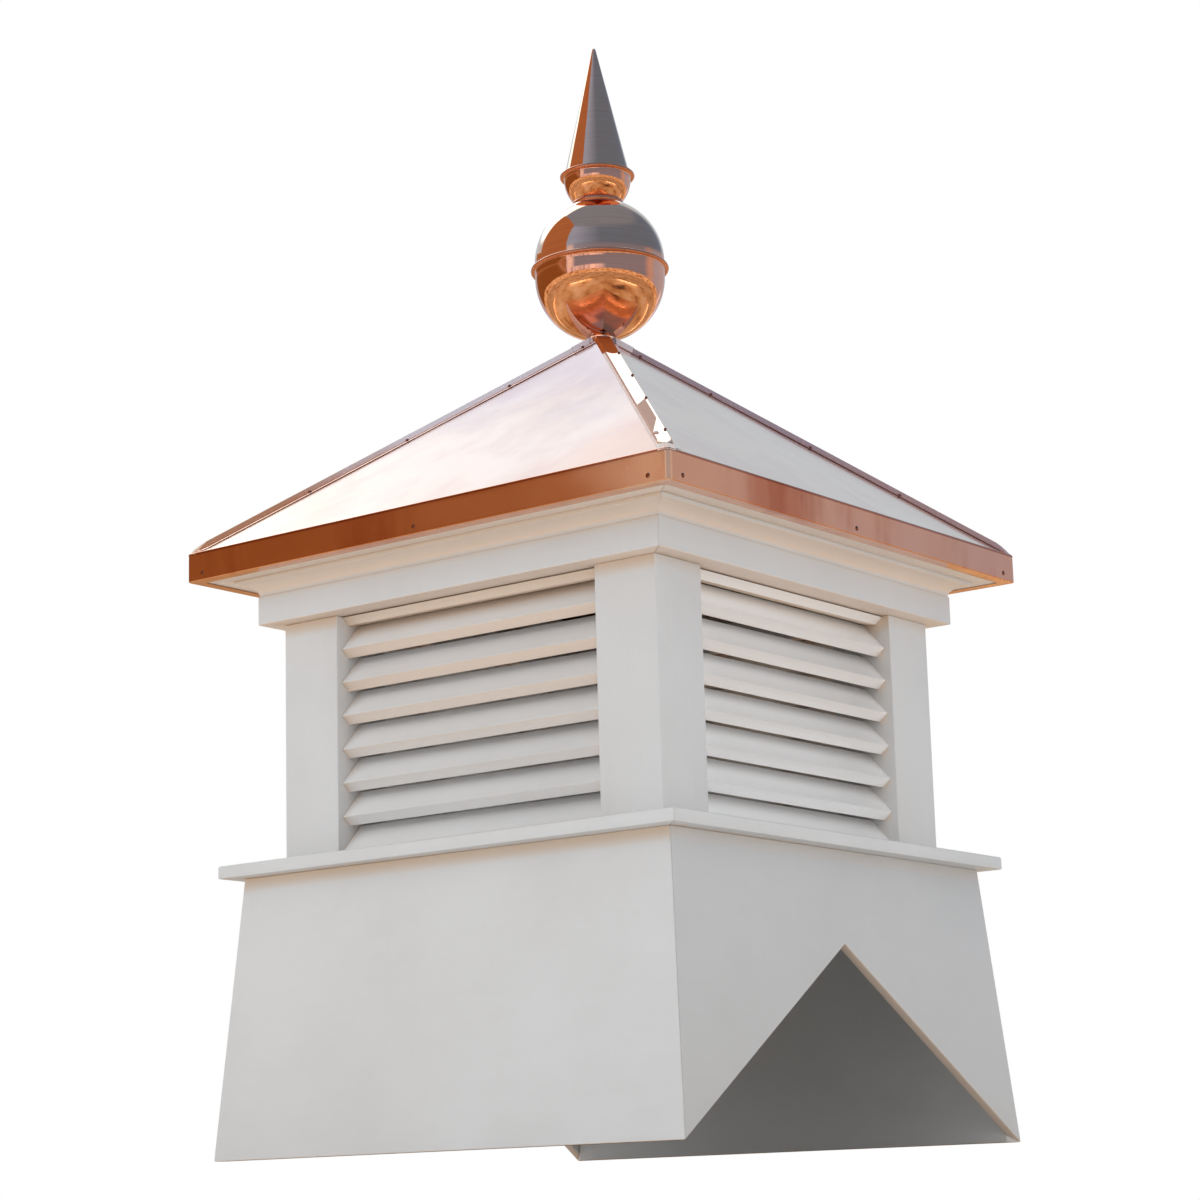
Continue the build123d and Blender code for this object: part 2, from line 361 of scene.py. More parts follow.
# caps: the near one is bright with painted brown reflections, the ball's at its top and a patch lower down,
# and painted shade lines along its edges; the others have pale and mauve films that are painted reflections
capFilmsAndPaintedLight = {
    "flatSpan": (0.0092, 0.0086),
    # painted reflection of the ball across the near cap's top end
    "top": (0.44, 0.105, 0.03, 1),
    "topSpan": (0.992, 0.996),
    "topBow": -70.0,
    # painted brown reflection patch lower on the near cap
    "patch": (0.66, 0.45, 0.37, 1),
    "patchSpan": (0.866, 0.863),
    "patchSlant": -1.2,
    "patchTurn": 0.822,
    "patchTaper": 0.4,
    "patchEdge": (0.0064, 0.0050),
    # painted shade lines along the edges of the near cap's flat top
    "edge": (0.42, 0.17, 0.10, 1),
    "edgeInner": (0.0078, 0.0083, 0.0, 0.75),
    "edgeOuter": (0.0093, 0.0088),
    "end": (0.90, 0.80, 0.76, 1),
    "endSpan": (0.7655, 0.7635),
    "endSide": (-0.0090, -0.0095),
    "endAmount": 0.9,
    # the other caps' films: painted reflections
    "pale": (0.84, 0.80, 0.87, 1),
    "mauve": (0.36, 0.29, 0.36, 1),
    "orange": (0.55, 0.24, 0.12, 1),
    "orangeSpan": (0.93, 0.82),
    "orangeBare": 0.1,
    "drift": (14, 4),
    "driftAmount": 0.08,
    "bare": 0.15,
    "show": 0.12,  # how much of the copper shows through a film
    "screw": (0.66, 0.54, 0.52, 1),
    "rivet": (0.22, 0.07, 0.045, 1),
    "rivetAmount": 0.85,
}


def nearCapPaintedLight(tree, colour):
    east, north, up = axesOf(tree)
    across = times(plus(east, north), 1 / sqrt(2))
    aside = compute("ABSOLUTE", across)
    bowed = plus(up, times(across, across, capFilmsAndPaintedLight["topBow"]))
    top = times(between(bowed, *capFilmsAndPaintedLight["topSpan"]), between(across, *capFilmsAndPaintedLight["flatSpan"]))
    below = between(plus(up, times(across, capFilmsAndPaintedLight["patchSlant"])), *capFilmsAndPaintedLight["patchSpan"])
    low = larger(minus(capFilmsAndPaintedLight["patchTurn"], up), 0.0)
    patch = times(below, between(plus(across, times(low, capFilmsAndPaintedLight["patchTaper"])), *capFilmsAndPaintedLight["patchEdge"]))
    edge = times(between(aside, *capFilmsAndPaintedLight["edgeInner"]), between(aside, *capFilmsAndPaintedLight["edgeOuter"]))
    end = larger(between(up, *capFilmsAndPaintedLight["endSpan"]), between(across, *capFilmsAndPaintedLight["endSide"]))
    end = times(end, capFilmsAndPaintedLight["endAmount"])
    # painted shade lines, a painted reflection patch, a pale matt end and the ball's painted reflection at
    # the top
    for amount, tint in ((edge, "edge"), (patch, "patch"), (end, "end"), (top, "top")):
        colour = mix(amount, colour, capFilmsAndPaintedLight[tint])
    return colour, minus(1.0, larger(top, patch, edge, end))


def filmsAndPaintedReflections(film, warmFoot):
    # on the caps the film colours are painted reflections
    def marking(tree, colour):
        level = plus(axesOf(tree)[2], strayOf(cloud(tree, *capFilmsAndPaintedLight["drift"]), capFilmsAndPaintedLight["driftAmount"]))
        foot = between(level, *capFilmsAndPaintedLight["orangeSpan"], 0.0, warmFoot)
        bare = plus(times(foot, capFilmsAndPaintedLight["orangeBare"]), capFilmsAndPaintedLight["bare"])
        return mix(capFilmsAndPaintedLight["show"], mix(foot, film, capFilmsAndPaintedLight["orange"]), colour), bare
    return marking


def dyed(amount, colour, blend):
    return lambda tree, metal: (mix(amount, metal, colour, blend), 1.0)


plywood = {
    "figure": (3, 8, 0.6, (1.2, 14, 6)),
    "tones": [(0.35, (0.42, 0.27, 0.14)), (0.62, (0.62, 0.45, 0.27))],
    "roughness": 0.75,
    "grain": 0.25,
    "grainDepth": 0.8 * mm,
}


def plywoodSheathing():
    made, tree = emptyMaterial("plywoodSheathing")
    figure = cloud(tree, *plywood["figure"])
    closeMaterial(tree, {
        "Base Color": rampOf(figure, plywood["tones"]),
        "Roughness": plywood["roughness"],
        "Normal": bumpOf(figure, plywood["grain"], plywood["grainDepth"]),
    })
    return made


lengthwise = vinylBoard("vinylLengthwise", (7, 7, 320))
sillVinyl = vinylBoard("vinylSill", (7, 7, 320), paintedWarmLevels=(0.40, 0.60))
bladeBoard = vinylBoard("vinylBlade", (7, 7, 320), paintedWarmLevels=(0.40, 0.60), lit=True)
upright = vinylBoard("vinylUpright", (300, 300, 6))
skirtBoard = vinylBoard("vinylSkirt", (9, 9, 60))
# the left and right skirts: the same board darkened, painted shade
paintedShadeSkirt = vinylBoard("vinylSkirtPaintedShade", (9, 9, 60), tone=0.86)
roofCopper = copperSheet("roofCopper", (0.14, 0.2), 0.06, clouded)
fasciaCopper = copperSheet("fasciaCopper", (0.14, 0.24), 0.1, streaksAndPaintedLight)
nearCapCopper = copperSheet("nearCapCopper", (0.08, 0.15), 0.05, nearCapPaintedLight, 0.0)
# the pale and mauve cap films are painted reflections
paleCapCopper = copperSheet("paleCapCopper", (0.3, 0.4), 0.05, filmsAndPaintedReflections(capFilmsAndPaintedLight["pale"], 1.0))
mauveCapCopper = copperSheet("mauveCapCopper", (0.3, 0.4), 0.05, filmsAndPaintedReflections(capFilmsAndPaintedLight["mauve"], 0.3))
spunCopper = copperSheet("spunCopper", (0.03, 0.08), 0.03, ringed)
beadCopper = copperSheet("beadCopper", (0.3, 0.42), 0.05, dyed(1.0, spun["bead"], "MULTIPLY"))
rivetFilm = dyed(capFilmsAndPaintedLight["rivetAmount"], capFilmsAndPaintedLight["rivet"], "MIX")
rivetCopper = copperSheet("rivetCopper", (0.2, 0.35), 0.1, rivetFilm)
screwCopper = copperSheet("screwCopper", (0.2, 0.3), 0.1, filmsAndPaintedReflections(capFilmsAndPaintedLight["screw"], 0.0))
sheathing = plywoodSheathing()
print("materials ready")


# meshes and pieces

def placed(name, data):
    made = bpy.data.objects.new(name, data)
    bpy.context.scene.collection.objects.link(made)
    return made


def finishPiece(piece, material, slotName, *stoodFor):
    piece.data.materials.clear()
    piece.data.materials.append(material)
    for face in piece.data.polygons:
        face.use_smooth = True
    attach(piece, "root")
    if stoodFor:
        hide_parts(*stoodFor)
    return piece


def pieceFrom(mesh, name, turn=0):
    bmesh.ops.rotate(mesh, verts=mesh.verts, matrix=Matrix.Rotation(radians(turn), 3, "Z"))
    bmesh.ops.recalc_face_normals(mesh, faces=mesh.faces)
    data = bpy.data.meshes.new(name)
    mesh.to_mesh(data)
    mesh.free()
    return placed(name, data)


def easedEdges(piece, width):
    bevel = piece.modifiers.new("eased", "BEVEL")
    bevel.width = width
    bevel.segments = 2
    bevel.limit_method = "ANGLE"
    bevel.angle_limit = radians(32)
    bevel.harden_normals = True


def clamped(value):
    return min(1.0, max(0.0, value))


def spread(first, last, steps):
    # evenly spaced values, both ends included
    return [first + (last - first) * step / steps for step in range(steps + 1)]


def flatFaces(piece):
    # large faces keep their own direction beside small rounded ones
    piece.modifiers.new("flatFaces", "WEIGHTED_NORMAL").weight = 100


boardReach = 377.7 * mm  # boards under the roof end here, clear of the fascias' rounded corners


def boardFrom(node, name, width):
    # the CAD board again, with clean faces and eased edges
    mesh = bmesh.new()
    mesh.from_mesh(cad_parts[node].data)
    for vert in mesh.verts:
        vert.co.xy = [min(boardReach, max(-boardReach, part)) for part in vert.co.xy]
    bmesh.ops.remove_doubles(mesh, verts=mesh.verts, dist=1e-6)
    bmesh.ops.dissolve_limit(mesh, angle_limit=radians(0.4), verts=mesh.verts, edges=mesh.edges)
    piece = pieceFrom(mesh, name)
    easedEdges(piece, width)
    return piece


# what stands for each node: its name, how far its edges are eased, and its material
boards = {
    "base_panel": ("skirt", 1.2 * mm, skirtBoard),
    "sill": ("sillBoard", 1.4 * mm, sillVinyl),
    "louvre": ("louvreBlades", 0.5 * mm, bladeBoard),
    "frieze": ("friezeBoard", 1.1 * mm, lengthwise),
    "crown": ("crownMoulding", 0.45 * mm, lengthwise),
    "soffit": ("soffitBoard", 0.8 * mm, lengthwise),
    "deck": ("deckSheet", 0.6 * mm, sheathing),
    "corner_post": ("cornerPost", 1.3 * mm, upright),
}
for stem, (word, ease, material) in boards.items():
    slotName = "sheathing" if stem == "deck" else "white_vinyl"
    for place in corners if stem == "corner_post" else sides:
        board = boardFrom(f"{stem}_{place}", f"{word}_{place}", ease)
        finishPiece(board, material, slotName, f"{stem}_{place}")
# the left and right skirts take the darkened board, painted shade
for side in ("left", "right"):
    bpy.data.objects[f"skirt_{side}"].data.materials[0] = paintedShadeSkirt
print("boards, posts and louvres ready")


# copper roof: one folded sheet a side, from the peak down the slope, fascia and flange

roof = {
    "half": 381 * mm,
    "eave": 756 * mm,
    "rise": 297 * mm,
    "fasciaBottom": 720 * mm,
    "peakHalf": 17 * mm,
    "flange": 18 * mm,
    "inset": 1.0 * mm,  # fascia behind the edge of the CAD roof: room for rivets and laps
    "sheet": 0.7 * mm,
    "eaveBend": 1.6 * mm,
    "flangeBend": 1.3 * mm,
    "columns": 110,
    "longest": 26 * mm,
    "fasciaLongest": 3.5 * mm,
    "waviness": 0.3 * mm,
    "waveBase": 0.6,
    "waveScale": (9, 16, 1.7),
    "waveSeed": (1.4, 3.1),  # the first side's, and the step to the next
    "stillEnds": 14,
    "calmEdges": 30,
    "footFrom": 4 * mm,  # the waves fade out on the flange
    "footFade": 2 * mm,
    "cornerRound": 5 * mm,
    "cornerSteps": 6,
    "cornerFrom": 8 * mm,  # the bend begins this far in from the roof's edge
    "cornerFade": 6 * mm,
    "fasciaFrom": 0.6 * mm,  # below the eave, the fascia's material
}
roof["slope"] = roof["rise"] / roof["half"]


def roofHeight(out):
    return roof["eave"] + roof["slope"] * (roof["half"] - out)


def bentLine(points, radii, steps=5):
    # a line through points with its corners rounded: a list of 2-D vectors
    line = [Vector(points[0])]
    for before, here, after, radius in zip(points, points[1:], points[2:], radii):
        here = Vector(here)
        arrive = (Vector(before) - here).normalized()
        leave = (Vector(after) - here).normalized()
        half = arrive.angle(leave) / 2
        reach = radius / tan(half)
        centre = here + (arrive + leave).normalized() * (radius / sin(half))
        start = here + arrive * reach - centre
        turn = start.angle_signed(here + leave * reach - centre)
        line += [centre + Matrix.Rotation(angle, 2) @ start for angle in spread(0.0, -turn, steps)]
    line.append(Vector(points[-1]))
    return line


def splitLine(line, longest):
    # the same line with long runs divided; longest gives the longest run at a point
    made = [line[0]]
    for start, end in zip(line, line[1:]):
        runs = max(1, ceil((end - start).length / longest(start.lerp(end, 0.5))))
        made += [start.lerp(end, step / runs) for step in range(1, runs + 1)]
    return made


def thickened(line, thickness):
    # the line's other face, offset to its right
    made = []
    for place, point in enumerate(line):
        ahead = line[min(place + 1, len(line) - 1)] - line[max(place - 1, 0)]
        ahead.normalize()
        made.append(point + Vector((ahead.y, -ahead.x)) * thickness)
    return made


def joinRows(mesh, first, second):
    for left in range(len(first) - 1):
        mesh.faces.new([first[left], first[left + 1], second[left + 1], second[left]])


def closedSheet(outer, inner):
    # both skins of a sheet and its four edges, from two grids of points
    mesh = bmesh.new()
    skins = [[[mesh.verts.new(spot) for spot in row] for row in skin] for skin in (outer, inner)]
    for rows in skins:
        for low, high in zip(rows, rows[1:]):
            joinRows(mesh, low, high)
    outer, inner = skins
    joinRows(mesh, outer[0], inner[0])
    joinRows(mesh, outer[-1], inner[-1])
    for end in (0, -1):
        joinRows(mesh, [row[end] for row in outer], [row[end] for row in inner])
    return mesh


def mitredRows(line, columns, shift):
    # rows of points along the front, mitred at both ends and closer together there
    bend, steps = roof["cornerRound"], roof["cornerSteps"]
    rows = []
    for out, height in line:
        places = [-out + bend * step / steps for step in range(steps)]
        places += spread(bend - out, out - bend, columns)
        places += [-place for place in reversed(places[:steps])]
        spots = [Vector((place, -out, height)) for place in places]
        rows.append([spot + shift(spot) + cornerBend(spot) for spot in spots])
    return rows


def cornerBend(spot):
    # the fascias turn the corner in a small bend, which the caps hide on the slopes
    out, bend = -spot.y, roof["cornerRound"]
    turn = pi / 4 * max(0.0, 1 - (out - abs(spot.x)) / bend)
    fade = clamped((out - roof["half"] + roof["cornerFrom"]) / roof["cornerFade"])
    along = out - bend + bend * sin(turn) - abs(spot.x) if turn > 0 else 0.0
    return Vector((copysign(1, spot.x) * along, bend * (1 - cos(turn)), 0)) * fade


# handling marks: a soft upright dent beside the near corner and a crease from its rivet to the bend
dents = {
    "side": "front",
    "uprightAt": 368.5 * mm,
    "uprightWidth": 3.2 * mm,
    "uprightDepth": 0.85 * mm,
    "uprightFoot": 734 * mm,
    "uprightFade": 8 * mm,
    "creaseFrom": 353 * mm,
    "creaseTo": 372 * mm,
    "creaseLevel": 732 * mm,
    "creaseRise": 0.12,
    "creaseWidth": 1.8 * mm,
    "creaseDepth": 0.8 * mm,
    "creaseFade": 3 * mm,
}


def bellOf(distance, width):
    return exp(-((distance / width) ** 2))


def dentDepth(spot):
    upper = clamped((spot.z - dents["uprightFoot"]) / dents["uprightFade"])
    groove = dents["uprightDepth"] * upper * bellOf(spot.x - dents["uprightAt"], dents["uprightWidth"])
    along = spot.x - dents["creaseFrom"]
    fade = clamped(min(along, dents["creaseTo"] - spot.x) / dents["creaseFade"])
    level = dents["creaseLevel"] + dents["creaseRise"] * along
    return groove + dents["creaseDepth"] * fade * bellOf(spot.z - level, dents["creaseWidth"])


def roofWaves(side, seed):
    # soft waves of hand-bent sheet: in and out on the fascia, up and down on the slope
    across, up, seedScale = roof["waveScale"]

    def shift(spot):
        out = -spot.y
        still = min(1.0, (1 - abs(spot.x) / out) * roof["stillEnds"])
        swell = noise.noise(Vector((spot.x * across + seed, spot.z * up, seed * seedScale)))
        wave = roof["waviness"] * (roof["waveBase"] + swell) * still
        if spot.z < roof["eave"] - 2 * mm:
            foot = clamped((out - roof["half"] + roof["footFrom"]) / roof["footFade"])
            marks = dentDepth(spot) * foot if side == dents["side"] else 0.0
            return Vector((0, wave * foot + marks, 0))
        calm = clamped(min(roof["half"] - out, out - roof["peakHalf"]) * roof["calmEdges"])
        return Vector((0, 0, -wave * calm))
    return shift


fasciaOut = roof["half"] - roof["inset"]
roofLine = bentLine(
    [
        (roof["peakHalf"], roofHeight(roof["peakHalf"])),
        (fasciaOut, roofHeight(fasciaOut)),
        (fasciaOut, roof["fasciaBottom"]),
        (roof["half"] - roof["flange"], roof["fasciaBottom"]),
    ],
    [roof["eaveBend"], roof["flangeBend"]],
)
roofLine = splitLine(
    roofLine, lambda spot: roof["fasciaLongest"] if spot.y < roof["eave"] else roof["longest"]
)
firstSeed, seedStep = roof["waveSeed"]
for place, (side, turn) in enumerate(sides.items()):
    shift = roofWaves(side, seedStep * place + firstSeed)
    outer = mitredRows(roofLine, roof["columns"], shift)
    inner = mitredRows(thickened(roofLine, roof["sheet"]), roof["columns"], shift)
    panel = pieceFrom(closedSheet(outer, inner), f"roofPanel_{side}", turn)
    flatFaces(panel)
    finishPiece(panel, roofCopper, "sheet_copper", f"roof_panel_{side}")
    panel.data.materials.append(fasciaCopper)
    for face in panel.data.polygons:
        face.material_index = int(face.center.z < roof["eave"] - roof["fasciaFrom"])


# hip caps, and the short flaps bent over three of them beside the finial's foot

cap = {
    "halfFlat": 8.5 * mm,
    "sideRun": 2 * mm,
    "wing": 8 * mm,  # turned out on the slope, on both sides or on the near cap's right
    "wingLift": 0.9 * mm,
    "lift": 2.4 * mm,
    "sheet": 0.8 * mm,
    "bend": 0.9 * mm,
    "split": 4.4 * mm,
    "endAngle": radians(55),
    "wingEnd": 0.05,  # the wings' share of the closed end, so that they stop above the fascia
    "endDrop": 0.9 * mm,  # how far the closed end comes down over the fascia's top edge
    "endOut": 380.3 * mm,
    "endRound": 2.4 * mm,
    "footClear": 16.3 * mm,
    "finish": {
        "front_right": nearCapCopper,
        "front_left": paleCapCopper,
        "back_right": mauveCapCopper,
        "back_left": mauveCapCopper,
    },
}
wingFrom = cap["halfFlat"] + cap["sideRun"] + 0.4 * mm
flap = {
    "corners": ("front_left", "back_right", "back_left"),
    "halfFlat": 9.6 * mm,
    "sideRun": 2.6 * mm,
    "lift": 3.3 * mm,
    "sheet": 0.6 * mm,
    "bend": 1.0 * mm,
    "from": 17.5 * mm,
    "length": 25 * mm,
    "scallop": 5 * mm,
}
hipSlope = roof["slope"] / sqrt(2)


def hipSection(form, thickness, oneWing=False):
    # across the hip: (distance from its line, height over it), from one foot to the other
    foot = form["halfFlat"] + form["sideRun"]
    lift = form.get("wingLift", 0.0)
    right = [(form["halfFlat"], form["lift"]), (foot, lift - hipSlope * foot)]
    if "wing" in form:
        tip = foot + form["wing"]
        right.append((tip, lift - hipSlope * tip))
    left = [(-across, height) for across, height in reversed(right)]
    if oneWing:
        left = [(-foot, -hipSlope * foot), left[-1]]
    points = left + right
    line = bentLine(points, [form["bend"]] * (len(points) - 2), steps=3)
    return thickened(splitLine(line, lambda spot: cap["split"]), thickness)


def hipSpot(along, across, height):
    # a point over the front right hip, from its run along the hip and across it
    return Vector(((along + across) / sqrt(2), (across - along) / sqrt(2), height))


def overHip(along, across, lift):
    return hipSpot(along, across, roof["eave"] + roof["rise"] - hipSlope * along + lift)


def capRows(thickness, oneWing, steps=26, endSteps=4):
    # down the hip, then down the leaning end to just below the eave
    lean = sqrt(2) / tan(cap["endAngle"])
    end = sqrt(2) * (cap["endOut"] - thickness / sin(cap["endAngle"]))
    columns = []
    for across, lift in hipSection(cap, thickness, oneWing):
        start = sqrt(max(cap["footClear"] ** 2 - across**2, 0.0))
        reach = end - hypot(across, cap["endRound"])
        knee = (reach - lean * (roof["rise"] + lift)) / (1 - lean * hipSlope)
        foot = hipSpot(reach + lean * cap["endDrop"], across, roof["eave"] - cap["endDrop"])
        column = [overHip(along, across, lift) for along in spread(start, knee, steps)]
        if abs(across) > wingFrom:
            foot = column[steps].lerp(foot, cap["wingEnd"])
        column += [column[steps].lerp(foot, step / endSteps) for step in range(1, endSteps + 1)]
        columns.append(column)
    return [list(row) for row in zip(*columns)]


def flapRows(thickness, steps=8):
    columns = []
    widest = flap["halfFlat"] + flap["sideRun"]
    for across, lift in hipSection(flap, thickness):
        end = flap["from"] + flap["length"] - flap["scallop"] * (abs(across) / widest) ** 3
        columns.append([overHip(along, across, lift) for along in spread(flap["from"], end, steps)])
    return [list(row) for row in zip(*columns)]


for corner, turn in corners.items():
    isNear = corner == "front_right"
    mesh = closedSheet(capRows(0.0, isNear), capRows(cap["sheet"], isNear))
    piece = pieceFrom(mesh, f"hipCap_{corner}", turn)
    flatFaces(piece)
    finishPiece(piece, cap["finish"][corner], "sheet_copper", f"hip_cap_{corner}")
    piece.visible_glossy = not isNear  # its dark image would run up the middle of the ball
    piece.data.materials.append(roofCopper)
    back = Matrix.Rotation(radians(-turn), 3, "Z")
    for face in piece.data.polygons:
        spot = back @ face.center
        face.material_index = int(abs(spot.x + spot.y) / sqrt(2) > wingFrom)
    if corner in flap["corners"]:
        piece = pieceFrom(closedSheet(flapRows(0.0), flapRows(flap["sheet"])), f"apexFlap_{corner}", turn)
        flatFaces(piece)
        finishPiece(piece, paleCapCopper, "sheet_copper")
print("copper roof ready")


# rivets on the hip caps, and round heads on the fascias

rivets = {
    "radius": 2.3 * mm,
    "height": 2.1 * mm,
    "radiusNear": 2.0 * mm,
    "acrossNear": 7.4 * mm,  # on the near cap's flat top, along its right edge
    "across": 13.0 * mm,  # on the wings of the others
    "sink": 6.0 * mm,
    "caps": {
        "front_right": (0.2, 0.415, 0.617, 0.88),
        "back_right": (0.09, 0.26, 0.5, 0.715),
        "back_left": (0.07, 0.25, 0.49, 0.71),
        "front_left": (0.05, 0.23, 0.478, 0.71),
    },
    "rings": 5,
    "around": 20,
    "foot": 0.4,  # how deep a dome's foot goes, as a share of its height
}
capScrew = {"share": 0.905, "across": -5.2 * mm, "radius": 3.5 * mm, "height": 2.1 * mm}
heads = {
    "radius": 3.0 * mm,
    "height": 0.95 * mm,
    "along": (-353 * mm, 2 * mm, 351 * mm),
    "level": 729 * mm,
    "sink": 0.1 * mm,
}


def addDome(mesh, spot, outward, radius, height):
    # a low dome standing on spot, with a short foot under it
    outward = outward.normalized()
    across = outward.orthogonal().normalized()
    other = outward.cross(across)
    around = rivets["around"]
    rings = []
    for ring in range(rivets["rings"]):
        angle = pi / 2 * ring / rivets["rings"]
        middle, reach = spot + outward * height * sin(angle), radius * cos(angle)
        rings.append([
            mesh.verts.new(middle + (across * cos(turn) + other * sin(turn)) * reach)
            for turn in spread(0.0, 2 * pi, around)[:-1]
        ])
    for low, high in zip(rings, rings[1:]):
        joinRows(mesh, low + low[:1], high + high[:1])
    foot = spot - outward * height * rivets["foot"]
    for ring, tip in ((rings[-1], spot + outward * height), (rings[0], foot)):
        point = mesh.verts.new(tip)
        for step in range(around):
            mesh.faces.new([ring[step], ring[(step + 1) % around], point])


for corner, turn in corners.items():
    mesh = bmesh.new()
    for share in rivets["caps"][corner]:
        along = roof["half"] * share * sqrt(2)
        if corner == "front_right":
            spot = overHip(along, rivets["acrossNear"], cap["lift"])
            addDome(mesh, spot, hipSpot(hipSlope, 0, 1), rivets["radiusNear"], rivets["height"])
            continue
        for sign in (-1, 1):
            spot = overHip(along, sign * rivets["across"], -rivets["sink"])
            outward = hipSpot(hipSlope, sign * hipSlope, 1)
            addDome(mesh, spot, outward, rivets["radius"], rivets["height"])
    finishPiece(pieceFrom(mesh, f"capRivets_{corner}", turn), rivetCopper, "sheet_copper")
mesh = bmesh.new()
along = roof["half"] * capScrew["share"] * sqrt(2)
spot = overHip(along, capScrew["across"], cap["lift"])
addDome(mesh, spot, hipSpot(hipSlope, 0, 1), capScrew["radius"], capScrew["height"])
finishPiece(pieceFrom(mesh, "capScrew"), screwCopper, "sheet_copper")

for side, turn in sides.items():
    mesh = bmesh.new()
    for along in heads["along"]:
        spot = Vector((along, heads["sink"] - fasciaOut, heads["level"]))
        addDome(mesh, spot, Vector((0, -1, 0)), heads["radius"], heads["height"])
    finishPiece(pieceFrom(mesh, f"fasciaRivets_{side}", turn), rivetCopper, "sheet_copper")
print("rivets ready")


# finial: foot, ball in two halves, collar, bowl and rolled spire

finial = {
    "peak": roofHeight(roof["peakHalf"]),
    "footRadius": 16 * mm,
    "footHeight": 8 * mm,
    "footEase": 0.8 * mm,
    "ballRadius": 85.5 * mm,
    "ballBand": 20 * mm,
    "collarRadius": 34 * mm,
    "collarHeight": 6 * mm,
    "bowlRadius": 44 * mm,
    "bowlSeat": 31 * mm,
    "bowlBand": 7.5 * mm,
    "beadRadius": 3 * mm,
    "beadSink": 0.5 * mm,
    "beadTurn": (-2.5, pi / 2 + 0.9),
    "beadLap": 0.1 * mm,
    "beadFrom": 0.4 * mm,  # out from the shell, the bead's material
    "beadFoot": 5 * mm,
    "seamEdge": 0.2 * mm,  # a ring this close keeps the seam's edge crisp
    "collarFoot": [(0.6, 0.0), (0.0, 0.8)],  # mm in from its side, mm over its bottom
    "collarCrown": [(0.0, 2.4), (0.7, 0.9), (2.2, 0.0)],  # mm in from its side, mm under its top
    "shell": 1.2 * mm,
    "spireInset": 0.5 * mm,
    "spireHeight": 179 * mm,
    "spireTip": 2.5 * mm,
    "spireSteps": 46,
    "spirePoint": (1.4 * mm, 0.8 * mm),
    "spireSlack": 0.3 * mm,
    "spireShrink": 0.55 * mm,  # keeps the slack inside the CAD cone
    "slackScale": (1.4, 22),
    "lapStep": 0.35 * mm,
    "lapAt": 3.9,
    "lapSharp": 9,
    "around": 128,
    "arcSteps": 40,
}


def turnedPiece(name, profile, wobble=None):
    # a lathe-turned piece from a closed profile of (radius, height)
    mesh = bmesh.new()
    around = finial["around"]
    rings = []
    for radius, height in profile:
        if radius < 1e-6:
            rings.append([mesh.verts.new((0, 0, height))] * around)
            continue
        ring = []
        for angle in spread(0.0, 2 * pi, around)[:-1]:
            reach = radius + (wobble(angle, height) if wobble else 0.0)
            ring.append(mesh.verts.new((reach * cos(angle), reach * sin(angle), height)))
        rings.append(ring)
    for low, high in zip(rings, rings[1:] + rings[:1]):
        for step in range(around):
            after = (step + 1) % around
            loop = list(dict.fromkeys([low[step], low[after], high[after], high[step]]))
            if len(loop) > 2:
                mesh.faces.new(loop)
    return pieceFrom(mesh, name)


def arcLine(centre, radius, fromAngle, toAngle):
    angles = spread(fromAngle, toAngle, finial["arcSteps"])
    return [(radius * cos(angle), centre + radius * sin(angle)) for angle in angles]


def beadLine(radius, height, steps=14):
    # the outside of a rolled bead, from below round to its top
    bead = finial["beadRadius"]
    centre = radius + bead - finial["beadSink"]
    angles = spread(*finial["beadTurn"], steps)
    return [(centre + bead * cos(angle), height - bead + bead * sin(angle)) for angle in angles]


ball, bowl = finial["ballRadius"], finial["bowlRadius"]
ballLow = sqrt(ball**2 - finial["footRadius"] ** 2)
ballHigh = sqrt(ball**2 - finial["collarRadius"] ** 2)
ballCentre = finial["peak"] + finial["footHeight"] + ballLow
ballShoulder = ballCentre + finial["ballBand"]
ballSeam = ballCentre + finial["ballBand"] / 2 + finial["beadRadius"]
collarBottom = ballShoulder + ballHigh
collarTop = collarBottom + finial["collarHeight"]
bowlLow = sqrt(bowl**2 - finial["bowlSeat"] ** 2)
bowlCentre = collarTop + bowlLow
bowlRim = bowlCentre + finial["bowlBand"]


def spunShell(name, node, outside, rim=None):
    # outside: the outer face from the foot up; a shell with a rim ends in a bead right below it
    skin = [Vector(spot) for spot in outside]
    if rim:
        radius = outside[-1][0]
        skin.append(Vector((radius, rim)))
        outside = outside + beadLine(radius, rim) + [(radius - finial["beadLap"], rim)]
    inside = [tuple(spot) for spot in reversed(thickened(skin, -finial["shell"]))]
    piece = finishPiece(turnedPiece(name, outside + inside), spunCopper, "finial_copper", node)
    piece.visible_glossy = False  # its dark image would cover the bright slopes
    piece.data.materials.append(beadCopper)
    for face in piece.data.polygons:
        beyond = hypot(face.center.x, face.center.y) - outside[-1][0] > finial["beadFrom"]
        face.material_index = int(bool(rim) and beyond)


lowerLine = arcLine(ballCentre, ball, -asin(ballLow / ball), 0)
upperLine = arcLine(ballShoulder, ball, 0, asin(ballHigh / ball))
bowlLine = arcLine(bowlCentre, bowl, -asin(bowlLow / bowl), 0)
spunShell("ballLower", "finial_ball_lower", lowerLine + [(ball, ballSeam - finial["beadFoot"])], ballSeam)
upperLine = [(ball, ballSeam), (ball, ballSeam + finial["seamEdge"])] + upperLine
spunShell("ballUpper", "finial_ball_upper", upperLine)
spunShell("bowl", "finial_bowl", bowlLine + [(bowl, bowlRim - finial["beadFoot"])], bowlRim)
footTop = finial["peak"] + finial["footHeight"]
foot = turnedPiece("finialFoot", [
    (0, finial["peak"]), (finial["footRadius"], finial["peak"]),
    (finial["footRadius"], footTop), (0, footTop),
])
easedEdges(foot, finial["footEase"])
